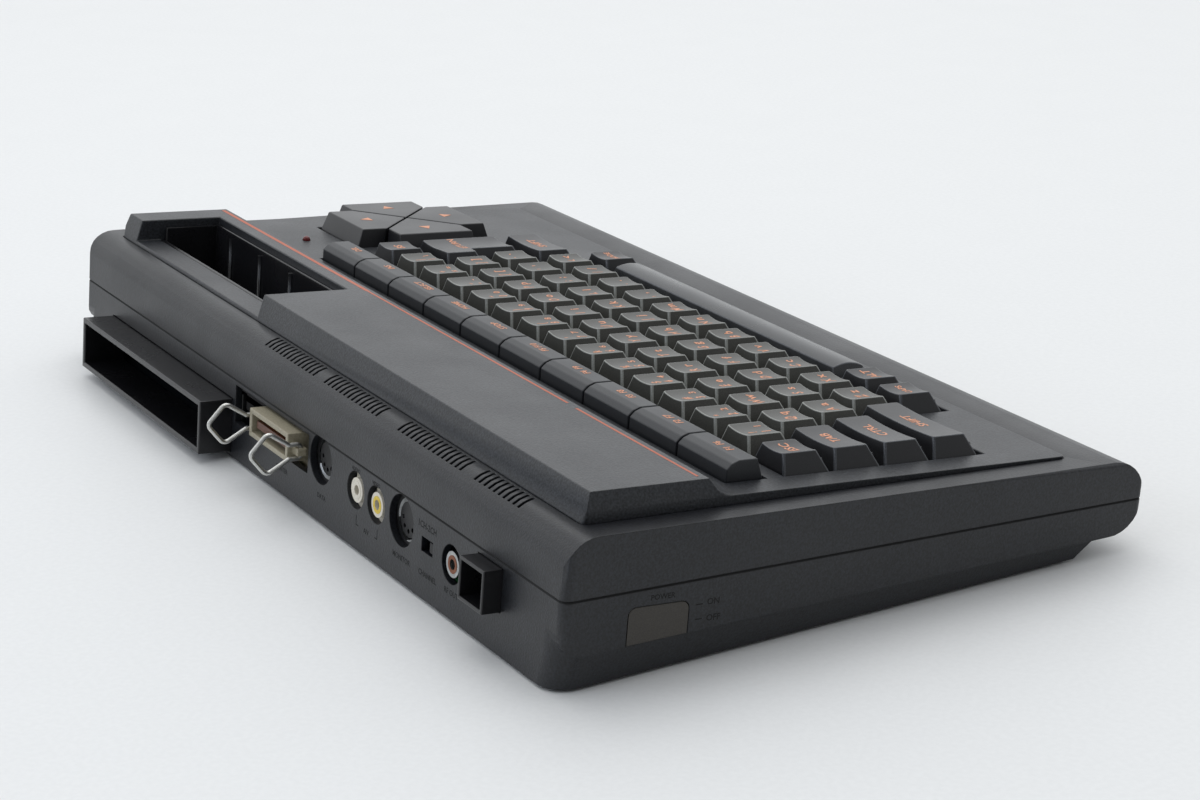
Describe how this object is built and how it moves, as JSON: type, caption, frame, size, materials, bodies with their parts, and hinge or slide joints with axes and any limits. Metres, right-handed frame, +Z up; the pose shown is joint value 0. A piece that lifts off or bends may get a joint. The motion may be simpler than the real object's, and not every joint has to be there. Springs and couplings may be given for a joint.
{
  "type": "home computer",
  "caption": "Flat dark home computer: keyboard with function and cursor keys, raised hood with a cartridge slot, rear sleeve and sockets, standing on rubber feet.",
  "frame": {"origin": "centre of the bounding box on the ground, under the rubber feet", "axes": "+X to the user's right along the keyboard, +Y from the front edge to the sockets at the back, +Z up"},
  "size_m": [0.383, 0.2342, 0.0565],
  "materials": {
    "case_plastic": "fine textured charcoal ABS",
    "bezel_plastic": "fine textured dark grey ABS",
    "black_plastic": "matt black ABS",
    "dark_keys": "satin dark grey key plastic",
    "grey_keys": "satin warm grey key plastic",
    "function_keys": "satin grey key plastic",
    "button_plastic": "satin brown-grey plastic",
    "screening_can": "tinned sheet steel",
    "aluminium": "extruded",
    "steel_screws": "zinc plated",
    "bail_wire": "bright nickel plated wire",
    "plated_socket": "nickel plated",
    "white_socket": "moulded",
    "yellow_socket": "moulded",
    "cream_plastic": "moulded connector body",
    "amber_insert": "moulded contact carrier",
    "circuit_board": "green lacquered laminate",
    "paper_board": "brown paper laminate",
    "chip_plastic": "moulded epoxy",
    "silicone": "moulded silicone",
    "ribbon_plastic": "flat ribbon insulation",
    "rubber": "moulded",
    "red_lens": "clear red epoxy"
  },
  "bodies": {
    "case": {"top_case": "case_plastic", "bottom_case": "case_plastic", "keyboard_bezel": "bezel_plastic", "cartridge_well": "black_plastic", "cartridge_connectors": "black_plastic", "rear_slot_sleeve": "case_plastic", "main_board": "circuit_board", "board_parts": "chip_plastic", "heat_sink": "aluminium", "rf_modulator": "screening_can", "rf_jack": "plated_socket", "audio_jack": "white_socket", "video_jack": "yellow_socket", "din_sockets": "black_plastic", "printer_connector": "cream_plastic", "printer_insert": "amber_insert", "power_inlet": "black_plastic", "channel_switch": "black_plastic", "power_switch": "black_plastic", "power_light": "red_lens", "key_frame": "black_plastic", "contact_sheet": "silicone", "keyboard_board": "paper_board", "keyboard_ribbon": "ribbon_plastic", "controller_ports": "black_plastic", "screws": "steel_screws", "rubber_feet": "rubber"},
    "space_bar": {"space_bar": "dark_keys"},
    "return_key": {"return_key": "dark_keys"},
    "escape_key": {"escape_key": "dark_keys"},
    "backspace_key": {"backspace_key": "dark_keys"},
    "tab_key": {"tab_key": "dark_keys"},
    "control_key": {"control_key": "dark_keys"},
    "left_shift_key": {"left_shift_key": "dark_keys"},
    "right_shift_key": {"right_shift_key": "dark_keys"},
    "caps_key": {"caps_key": "dark_keys"},
    "graph_key": {"graph_key": "dark_keys"},
    "code_key": {"code_key": "dark_keys"},
    "function_key_1": {"function_key_1": "function_keys"},
    "function_key_2": {"function_key_2": "function_keys"},
    "function_key_3": {"function_key_3": "function_keys"},
    "function_key_4": {"function_key_4": "function_keys"},
    "function_key_5": {"function_key_5": "function_keys"},
    "function_key_6": {"function_key_6": "function_keys"},
    "function_key_7": {"function_key_7": "function_keys"},
    "function_key_8": {"function_key_8": "function_keys"},
    "function_key_9": {"function_key_9": "function_keys"},
    "function_key_10": {"function_key_10": "function_keys"},
    "cursor_up_key": {"cursor_up_key": "dark_keys"},
    "cursor_left_key": {"cursor_left_key": "dark_keys"},
    "cursor_down_key": {"cursor_down_key": "dark_keys"},
    "cursor_right_key": {"cursor_right_key": "dark_keys"},
    "number_row_keys": {"number_row_keys": "grey_keys"},
    "upper_row_keys": {"upper_row_keys": "grey_keys"},
    "home_row_keys": {"home_row_keys": "grey_keys"},
    "lower_row_keys": {"lower_row_keys": "grey_keys"},
    "power_button": {"power_button": "button_plastic"},
    "channel_slider": {"channel_slider": "black_plastic"},
    "bail_left": {"bail_left": "bail_wire"},
    "bail_right": {"bail_right": "bail_wire"}
  },
  "joints": [
    {"name": "space_bar_press", "type": "slide", "parent": "case", "child": "space_bar", "axis": [0, 0.0993, -0.9951], "range_m": [0, 0.0035], "stiffness_N_per_m": 220, "springref_m": -0.002},
    {"name": "return_key_press", "type": "slide", "parent": "case", "child": "return_key", "axis": [0, 0.0993, -0.9951], "range_m": [0, 0.0035], "stiffness_N_per_m": 150, "springref_m": -0.002},
    {"name": "escape_key_press", "type": "slide", "parent": "case", "child": "escape_key", "axis": [0, 0.0993, -0.9951], "range_m": [0, 0.0035], "stiffness_N_per_m": 150, "springref_m": -0.002},
    {"name": "backspace_key_press", "type": "slide", "parent": "case", "child": "backspace_key", "axis": [0, 0.0993, -0.9951], "range_m": [0, 0.0035], "stiffness_N_per_m": 150, "springref_m": -0.002},
    {"name": "tab_key_press", "type": "slide", "parent": "case", "child": "tab_key", "axis": [0, 0.0993, -0.9951], "range_m": [0, 0.0035], "stiffness_N_per_m": 150, "springref_m": -0.002},
    {"name": "control_key_press", "type": "slide", "parent": "case", "child": "control_key", "axis": [0, 0.0993, -0.9951], "range_m": [0, 0.0035], "stiffness_N_per_m": 150, "springref_m": -0.002},
    {"name": "left_shift_key_press", "type": "slide", "parent": "case", "child": "left_shift_key", "axis": [0, 0.0993, -0.9951], "range_m": [0, 0.0035], "stiffness_N_per_m": 150, "springref_m": -0.002},
    {"name": "right_shift_key_press", "type": "slide", "parent": "case", "child": "right_shift_key", "axis": [0, 0.0993, -0.9951], "range_m": [0, 0.0035], "stiffness_N_per_m": 150, "springref_m": -0.002},
    {"name": "caps_key_press", "type": "slide", "parent": "case", "child": "caps_key", "axis": [0, 0.0993, -0.9951], "range_m": [0, 0.0035], "stiffness_N_per_m": 150, "springref_m": -0.002},
    {"name": "graph_key_press", "type": "slide", "parent": "case", "child": "graph_key", "axis": [0, 0.0993, -0.9951], "range_m": [0, 0.0035], "stiffness_N_per_m": 150, "springref_m": -0.002},
    {"name": "code_key_press", "type": "slide", "parent": "case", "child": "code_key", "axis": [0, 0.0993, -0.9951], "range_m": [0, 0.0035], "stiffness_N_per_m": 150, "springref_m": -0.002},
    {"name": "function_key_1_press", "type": "slide", "parent": "case", "child": "function_key_1", "axis": [0, 0.0993, -0.9951], "range_m": [0, 0.0035], "stiffness_N_per_m": 150, "springref_m": -0.002},
    {"name": "function_key_2_press", "type": "slide", "parent": "case", "child": "function_key_2", "axis": [0, 0.0993, -0.9951], "range_m": [0, 0.0035], "stiffness_N_per_m": 150, "springref_m": -0.002},
    {"name": "function_key_3_press", "type": "slide", "parent": "case", "child": "function_key_3", "axis": [0, 0.0993, -0.9951], "range_m": [0, 0.0035], "stiffness_N_per_m": 150, "springref_m": -0.002},
    {"name": "function_key_4_press", "type": "slide", "parent": "case", "child": "function_key_4", "axis": [0, 0.0993, -0.9951], "range_m": [0, 0.0035], "stiffness_N_per_m": 150, "springref_m": -0.002},
    {"name": "function_key_5_press", "type": "slide", "parent": "case", "child": "function_key_5", "axis": [0, 0.0993, -0.9951], "range_m": [0, 0.0035], "stiffness_N_per_m": 150, "springref_m": -0.002},
    {"name": "function_key_6_press", "type": "slide", "parent": "case", "child": "function_key_6", "axis": [0, 0.0993, -0.9951], "range_m": [0, 0.0035], "stiffness_N_per_m": 150, "springref_m": -0.002},
    {"name": "function_key_7_press", "type": "slide", "parent": "case", "child": "function_key_7", "axis": [0, 0.0993, -0.9951], "range_m": [0, 0.0035], "stiffness_N_per_m": 150, "springref_m": -0.002},
    {"name": "function_key_8_press", "type": "slide", "parent": "case", "child": "function_key_8", "axis": [0, 0.0993, -0.9951], "range_m": [0, 0.0035], "stiffness_N_per_m": 150, "springref_m": -0.002},
    {"name": "function_key_9_press", "type": "slide", "parent": "case", "child": "function_key_9", "axis": [0, 0.0993, -0.9951], "range_m": [0, 0.0035], "stiffness_N_per_m": 150, "springref_m": -0.002},
    {"name": "function_key_10_press", "type": "slide", "parent": "case", "child": "function_key_10", "axis": [0, 0.0993, -0.9951], "range_m": [0, 0.0035], "stiffness_N_per_m": 150, "springref_m": -0.002},
    {"name": "cursor_up_key_press", "type": "slide", "parent": "case", "child": "cursor_up_key", "axis": [0, 0.0993, -0.9951], "range_m": [0, 0.0035], "stiffness_N_per_m": 150, "springref_m": -0.002},
    {"name": "cursor_left_key_press", "type": "slide", "parent": "case", "child": "cursor_left_key", "axis": [0, 0.0993, -0.9951], "range_m": [0, 0.0035], "stiffness_N_per_m": 150, "springref_m": -0.002},
    {"name": "cursor_down_key_press", "type": "slide", "parent": "case", "child": "cursor_down_key", "axis": [0, 0.0993, -0.9951], "range_m": [0, 0.0035], "stiffness_N_per_m": 150, "springref_m": -0.002},
    {"name": "cursor_right_key_press", "type": "slide", "parent": "case", "child": "cursor_right_key", "axis": [0, 0.0993, -0.9951], "range_m": [0, 0.0035], "stiffness_N_per_m": 150, "springref_m": -0.002},
    {"name": "number_row_keys_press", "type": "slide", "parent": "case", "child": "number_row_keys", "axis": [0, 0.0993, -0.9951], "range_m": [0, 0.0035], "stiffness_N_per_m": 900, "springref_m": -0.002},
    {"name": "upper_row_keys_press", "type": "slide", "parent": "case", "child": "upper_row_keys", "axis": [0, 0.0993, -0.9951], "range_m": [0, 0.0035], "stiffness_N_per_m": 900, "springref_m": -0.002},
    {"name": "home_row_keys_press", "type": "slide", "parent": "case", "child": "home_row_keys", "axis": [0, 0.0993, -0.9951], "range_m": [0, 0.0035], "stiffness_N_per_m": 900, "springref_m": -0.002},
    {"name": "lower_row_keys_press", "type": "slide", "parent": "case", "child": "lower_row_keys", "axis": [0, 0.0993, -0.9951], "range_m": [0, 0.0035], "stiffness_N_per_m": 900, "springref_m": -0.002},
    {"name": "power_button_press", "type": "slide", "parent": "case", "child": "power_button", "axis": [1, 0, 0], "range_m": [0, 0.0025], "stiffness_N_per_m": 400, "springref_m": -0.0015},
    {"name": "channel_slide", "type": "slide", "parent": "case", "child": "channel_slider", "axis": [1, 0, 0], "range_m": [0, 0.004]},
    {"name": "bail_left_swing", "type": "hinge", "parent": "case", "child": "bail_left", "pos_m": [-0.01635, 0.09854, 0.02125], "axis": [0, -0.0993, 0.9951], "range_deg": [-12, 60]},
    {"name": "bail_right_swing", "type": "hinge", "parent": "case", "child": "bail_right", "pos_m": [0.01965, 0.09854, 0.02125], "axis": [0, -0.0993, 0.9951], "range_deg": [-60, 12]}
  ]
}
